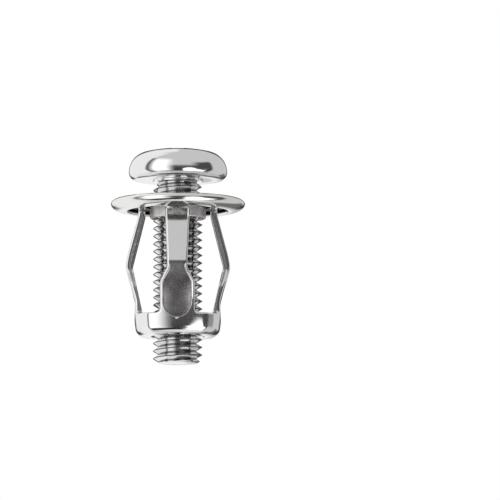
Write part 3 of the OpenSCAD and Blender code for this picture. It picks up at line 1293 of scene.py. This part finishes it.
        verts = add_patch(mesh, 2 * self.leg_columns, len(rows) - 1, place)
        for face in {face for vert in verts for face in vert.link_faces}:
            middle = face.calc_center_median()
            if middle.z < self.elbow_z and abs(middle.y) < floor_half(middle.z):
                face.material_index = CageFace.LEAF

    def round_point(self, z: float, column: int) -> Vector:
        """Point of the rounded edge along the outline.

        Args:
            z: Height of the face's row.
            column: 0 on the outer face, round_columns on the wall.

        Returns:
            The point, on the +Y side.
        """
        y, height, inward_y, inward_z = self.outline(z)
        turn = QUARTER_TURN * column / self.round_columns
        back = self.edge_r * (1 - math.sin(turn))
        depth = self.edge_r * (1 - math.cos(turn))
        return self.skin(y + inward_y * back, height + inward_z * back, depth)

    def wall_point(self, z: float, column: int) -> Vector:
        """Point of the cut wall behind the rounded edge, or of the edge behind it.

        Args:
            z: Height of the face's row.
            column: 0 at the rounded edge. 1 and 2 bound the sheared middle, 3 is where
                the wall ends, and the last is on the inner face.

        Returns:
            The point, on the +Y side.
        """
        y, height, _, _ = self.outline(z)
        start = self.round_point(z, self.round_columns).x
        end = self.inner(height)
        shares = (0, self.burnish_share, 1 - self.burnish_share, 1)
        wall_end = len(shares) - 1
        if column <= wall_end:
            x = start + (end + self.back_edge_r - start) * shares[column]
            return Vector((x, y, height))
        turn = QUARTER_TURN * (column - wall_end) / self.back_edge_columns
        back = self.back_edge_r * (1 - math.cos(turn))
        return Vector((end + self.back_edge_r * (1 - math.sin(turn)), y - back, height))

    def add_edges(self, mesh: BMesh, rows: list[float], side: int) -> None:
        """Adds the rounded edge along one side's outline, and the walls behind it.

        Args:
            mesh: The mesh to add to.
            rows: Heights of the face's rows from the collar's top edge up.
            side: 1 or -1, for the side of the leg.
        """
        def place(
            point_at: Callable[[float, int], Vector], first: int, column: int, row: int
        ) -> Vector:
            """Position of a vertex of one of the strips.

            Args:
                point_at: Gives the strip's point at a height and a column.
                first: The strip's first column.
                column: Column from there on.
                row: Row.

            Returns:
                The position, on this side.
            """
            point = point_at(rows[row], first + column)
            return Vector((point.x, side * point.y, point.z))

        for point_at, first, columns, face in (
            (self.round_point, 0, self.round_columns, CageFace.SHEET),
            (self.wall_point, 0, 1, CageFace.SHEET),
            (self.wall_point, 1, 1, CageFace.SHEARED),
            (self.wall_point, 2, 1 + self.back_edge_columns, CageFace.SHEET),
        ):
            add_patch(mesh, columns, len(rows) - 1, partial(place, point_at, first), face)

    def add_back(self, mesh: BMesh, rows: list[float]) -> None:
        """Adds the leg's flat inner face.

        Args:
            mesh: The mesh to add to.
            rows: Heights of the face's rows from the collar's top edge up.
        """
        middle = self.back_columns / 2

        def place(column: int, row: int) -> Vector:
            """Position of the inner face's vertex.

            Args:
                column: Column, 0 at the leg's -Y edge.
                row: Row, 0 at the collar's top edge.

            Returns:
                The position.
            """
            y, height, _, _ = self.outline(rows[row])
            share = (column - middle) / middle
            return Vector((self.inner(height), (y - self.back_edge_r) * share, height))

        add_patch(mesh, self.back_columns, len(rows) - 1, place)

    def add_collar_side(self, mesh: BMesh, rows: list[float], side: int) -> None:
        """Adds the collar's side and its rounded top edge, from a leg to a facet's middle.

        Args:
            mesh: The mesh to add to.
            rows: Heights of the side's rows, up to its rounded top edge.
            side: 1 or -1, for the side of the leg.
        """
        turns = spread(0, QUARTER_TURN, self.round_columns)[1:]
        heights = [(z, 0) for z in rows] + [
            (self.top_z - self.edge_r * (1 - math.sin(a)), self.edge_r * (1 - math.cos(a)))
            for a in turns
        ]

        def place(column: int, row: int) -> Vector:
            """Position of the side's vertex at a column and a row."""
            point = self.collar_side(column, *heights[row])
            return Vector((point.x, side * point.y, point.z))

        add_patch(mesh, self.side_columns, len(heights) - 1, place)

    def build(self) -> Object:
        """Makes the whole cage as one closed mesh.

        Returns:
            The piece.
        """
        mesh = bmesh.new()
        rows = self.face_rows()
        split = rows.index(self.split_z)
        self.add_face(mesh, rows)
        self.add_back(mesh, rows[split:])
        for side in (1, -1):
            self.add_edges(mesh, rows[split:], side)
            self.add_collar_side(mesh, rows[: split + 1], side)
        bmesh.ops.spin(
            mesh, geom=everything(mesh), cent=(0, 0, 0), axis=UP,
            angle=FULL_TURN - QUARTER_TURN, steps=3, use_duplicate=True,
        )
        mouth_r = self.bore_r + self.bore_chamfer
        add_turned(mesh, [
            (mouth_r, self.top_z),
            (self.bore_r, self.top_z - self.bore_chamfer),
            (self.bore_r, self.foot_z + self.bore_chamfer),
            (mouth_r, self.foot_z),
        ], self.bore_steps)
        edge, steps = self.ring_edge, self.ring_edge_steps
        edge_x = self.ring_r - edge
        # The ring takes the near-black painted shade.
        add_turned(mesh, [
            (self.ring_bore_r, self.ring_z),
            (self.ring_bore_r, self.ring_top),
            *arc((edge_x, self.ring_top - edge), (edge, edge), 90, 0, steps),
            *arc((edge_x, self.ring_z + edge), (edge, edge), 0, -90, steps),
        ], self.ring_steps, CageFace.HOLLOW_SHADE)
        bmesh.ops.remove_doubles(mesh, verts=mesh.verts[:], dist=MERGE_GAP)
        for height, index in (
            (self.foot_z, CageFace.SHEET),
            (self.top_z, CageFace.SHEET),
            # The ring's underside takes the near-black painted shade too.
            (self.ring_z, CageFace.HOLLOW_SHADE),
        ):
            filled = bmesh.ops.triangle_fill(
                mesh, use_beauty=True, edges=open_rim(mesh, height), normal=UP
            )
            for item in filled["geom"]:
                if isinstance(item, BMFace):
                    item.material_index = index
        finishes = (self.finish, self.hollow_shade_finish, self.sheared_finish, self.leaf_finish)
        return make_piece(mesh, "cage_shell", finishes, Part.CAGE)


# ---------------------------------------------------------------- studio


def sky_angles() -> NodeTree:
    """Makes the group that gives a direction's azimuth and elevation in degrees.

    Azimuth 0 is in front of the part, on the -Y side, and 90 is on its right, at +X.

    Returns:
        The group's tree.
    """
    group = Group("sky_angles", {}, {"Azimuth": NUMBER, "Elevation": NUMBER})
    place = group.add("TexCoord").outputs["Generated"]
    parts = group.add("SeparateXYZ", {"Vector": place}).outputs
    front = group.maths("MULTIPLY", parts["Y"], -1.0)
    azimuth = group.maths("ARCTAN2", parts["X"], front)
    elevation = group.maths("ARCSINE", parts["Z"])
    group.give("Azimuth", group.maths("DEGREES", azimuth))
    group.give("Elevation", group.maths("DEGREES", elevation))
    return group.tree


def soft_card() -> NodeTree:
    """Makes the group that lays a soft-edged card over what is behind it.

    Returns:
        The group's tree.
    """
    names = (
        "Azimuth", "Elevation", "Left", "Right", "Low", "High", "Lean", "Arch",
        "Soft Left", "Soft Right", "Soft Low", "Soft High",
    )
    inputs = dict.fromkeys(names, NUMBER) | {"Level": COLOUR, "Behind": COLOUR}
    group = Group("soft_card", inputs, {"Light": COLOUR})
    given, maths = group.given, group.maths

    def edge(value: NodeSocket, side: str) -> NodeSocket:
        """Rises from 0 to 1 across one of the card's sides.

        Args:
            value: The angle.
            side: Name of the side.

        Returns:
            The share.
        """
        half = maths("MULTIPLY", given[f"Soft {side}"], 0.5)
        limits = {
            "Value": value, "From Min": maths("SUBTRACT", given[side], half),
            "From Max": maths("ADD", given[side], half),
        }
        return group.add("MapRange", limits, interpolation_type="SMOOTHSTEP").outputs["Result"]

    def offset(value: str, low: str, high: str) -> NodeSocket:
        """Angle of a direction from the middle between two sides."""
        middle = maths("MULTIPLY", maths("ADD", given[low], given[high]), 0.5)
        return maths("SUBTRACT", given[value], middle)

    slide = maths("MULTIPLY", offset("Elevation", "Low", "High"), given["Lean"])
    slid = maths("SUBTRACT", given["Azimuth"], slide)
    width = maths("SUBTRACT", given["Right"], given["Left"])
    aside = maths("DIVIDE", offset("Azimuth", "Left", "Right"), width)
    bend = maths("MULTIPLY", maths("MULTIPLY", aside, aside), 4.0)
    bent = maths("ADD", given["Elevation"], maths("MULTIPLY", bend, given["Arch"]))
    across = maths("SUBTRACT", edge(slid, "Left"), edge(slid, "Right"))
    upward = maths("SUBTRACT", edge(given["Elevation"], "Low"), edge(bent, "High"))
    cover = maths("MULTIPLY", across, upward)
    group.give("Light", group.mix(cover, given["Behind"], given["Level"]))
    return group.tree


@dataclass(frozen=True)
class Card:
    """A card or flag of the studio, in degrees around the part.

    Soft holds the widths of its four soft edges: left, right, low and high. Lean slides
    it sideways with height, and arch is how far its top edge drops at both ends.
    """

    name: str
    across: tuple[float, float]
    upward: tuple[float, float]
    soft: tuple[float, float, float, float]
    level: float
    lean: float = 0
    arch: float = 0

    def place(
        self, wiring: Wiring, group: NodeTree, angles: dict[str, NodeSocket], behind: object
    ) -> NodeSocket:
        """Lays the card in the studio's tree.

        Args:
            wiring: The studio's tree.
            group: The shared group soft_card.
            angles: Azimuth and elevation of a direction.
            behind: The light behind the card, a socket or a colour.

        Returns:
            The light with the card over it.
        """
        sides = zip(("Left", "Right", "Low", "High"), self.across + self.upward, self.soft)
        inputs = {"Lean": self.lean, "Arch": self.arch, "Behind": behind}
        for side, angle, soft in sides:
            inputs |= {side: angle, f"Soft {side}": soft}
        level = (self.level, self.level, self.level, 1)
        node = wiring.add("Group", inputs | angles | {"Level": level}, node_tree=group)
        node.label = self.name
        return node.outputs["Light"]


# Each card lies over the ones before it.
CARDS = (
    Card("left wall", (-220, -76), (-60, 75), (20, 6, 14, 20), 0.9),
    Card("ground", (-95, 200), (-110, -66), (10, 10, 8, 6), 0.85),
    Card("dark room in front", (-26, 70), (-46, 14), (22, 6, 5, 16), 0.1),
    Card("its darkest part", (-14, 30), (-50, -6), (14, 14, 6, 24), 0.05),
    Card("dark line at the ground", (-84, 22), (-74, -44), (10, 10, 6, 5), 0.03),
    Card("right flag", (40, 84), (-10, 30), (30, 5, 8, 8), 0.07, lean=0.2),
    Card("right flag's edge", (72, 90), (-60, 30), (5, 5, 5, 10), 0.07),
    Card("low right window", (16, 78), (-72, -24), (4, 5, 6, 5), 1.4, arch=10),
    Card("its arched top", (13, 47), (-40, -6), (4, 4, 6, 4), 1.4, arch=14),
    Card("left window", (-63, -20), (-46, 47), (5, 30, 3, 20), 1.2),
    Card("left flag", (-82, -71), (-50, 50), (5, 5, 5, 8), 0.14),
    Card("rear flag, right", (162, 210), (1, 34), (12, 4, 4, 14), 0.03),
    Card("rear flag, left", (-210, -162), (1, 34), (4, 12, 4, 14), 0.03),
    Card("low rear shade", (140, 176), (-52, -8), (10, 6, 10, 8), 0.16),
    Card("low rear flag, right", (160, 173), (-16, 6), (8, 5, 8, 6), 0.03),
    Card("low rear flag, left", (-173, -160), (-16, 6), (5, 8, 8, 6), 0.03),
)


@dataclass
class Studio:
    """The pale floor, the soft light around the part and the camera."""

    lens: float = 400
    sensor: float = 36
    frame_w: float = 81.25 * MM
    elevation: float = math.radians(-6.5)
    look_at: tuple[float, float, float] = (11.72 * MM, 0, -6.28 * MM)
    clip_end: float = 10
    floor_z: float = -650 * MM
    floor_w: float = 12.0
    floor_tint: Rgb = (0.9, 0.9, 0.9)
    floor_roughness: float = 0.9
    surround: Rgb = (0.6, 0.6, 0.6)

    def build_camera(self) -> None:
        """Puts the camera in front of the part, a little below it."""
        data = bpy.data.cameras.new("camera")
        data.lens = self.lens
        data.sensor_width = self.sensor
        data.clip_end = self.clip_end
        distance = self.frame_w * self.lens / self.sensor
        back = Vector((0, -math.cos(self.elevation), math.sin(self.elevation)))
        camera = bpy.data.objects.new("camera", data)
        camera.location = Vector(self.look_at) + back * distance
        camera.rotation_euler = (-back).to_track_quat("-Z", "Y").to_euler()
        bpy.context.scene.collection.objects.link(camera)
        bpy.context.scene.camera = camera

    def build_floor(self) -> None:
        """Lays the plain pale floor well below the part."""
        mesh = bmesh.new()
        bmesh.ops.create_grid(mesh, x_segments=1, y_segments=1, size=self.floor_w / 2)
        bmesh.ops.translate(mesh, vec=(0, 0, self.floor_z), verts=mesh.verts[:])
        data = bpy.data.meshes.new("floor")
        mesh.to_mesh(data)
        mesh.free()
        material = bpy.data.materials.new("pale_floor")
        material.use_nodes = True
        shader = material.node_tree.nodes["Principled BSDF"]
        shader.inputs["Base Color"].default_value = (*self.floor_tint, 1)
        shader.inputs["Roughness"].default_value = self.floor_roughness
        data.materials.append(material)
        floor = bpy.data.objects.new("floor", data)
        floor.visible_glossy = False
        bpy.context.scene.collection.objects.link(floor)

    def build_light(self) -> None:
        """Surrounds the part with a studio of soft cards, seen only in its reflections.

        What isn't a reflection, such as the backdrop and the floor's light, is white.
        """
        world = bpy.data.worlds.new("studio")
        bpy.context.scene.world = world
        world.use_nodes = True
        world.cycles.sampling_method = "NONE"
        wiring = Wiring(world.node_tree)
        sky = wiring.add("Group", node_tree=sky_angles()).outputs
        angles = {name: sky[name] for name in ("Azimuth", "Elevation")}
        card_group = soft_card()
        shade: object = (*self.surround, 1)
        for card in CARDS:
            shade = card.place(wiring, card_group, angles, shade)
        glossy = wiring.add("LightPath").outputs["Is Glossy Ray"]
        background = world.node_tree.nodes["Background"].inputs["Color"]
        wiring.feed(background, wiring.mix(glossy, WHITE, shade))


def main() -> None:
    """Builds the part and the studio around it."""
    logging.basicConfig(level=logging.INFO, format="%(name)s: %(message)s")
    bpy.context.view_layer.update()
    bpy.context.scene.view_settings.view_transform = "Standard"
    studio = Studio()
    studio.build_camera()
    studio.build_floor()
    studio.build_light()
    groups = MicroRelief().build(), EdgeWearCreaseShade().build()
    steel, thread, cap_zinc, satin, hollow_shade, zinc, sheared, leaf = (
        finish.build(*groups)
        for finish in (STEEL, THREAD, CAP, SATIN, HOLLOW_SHADE, ZINC, SHEARED, LEAF)
    )
    screw = Screw(steel, thread)
    cap = FlangeCap(cap_zinc, satin, hollow_shade)
    cage = Cage(zinc, hollow_shade, sheared, leaf)
    for build in (screw.build_head, screw.build_shank, cap.build, cage.build):
        piece = build()
        log.info("%s: %d faces", piece.name, len(piece.data.polygons))


if __name__ == "__main__":
    main()
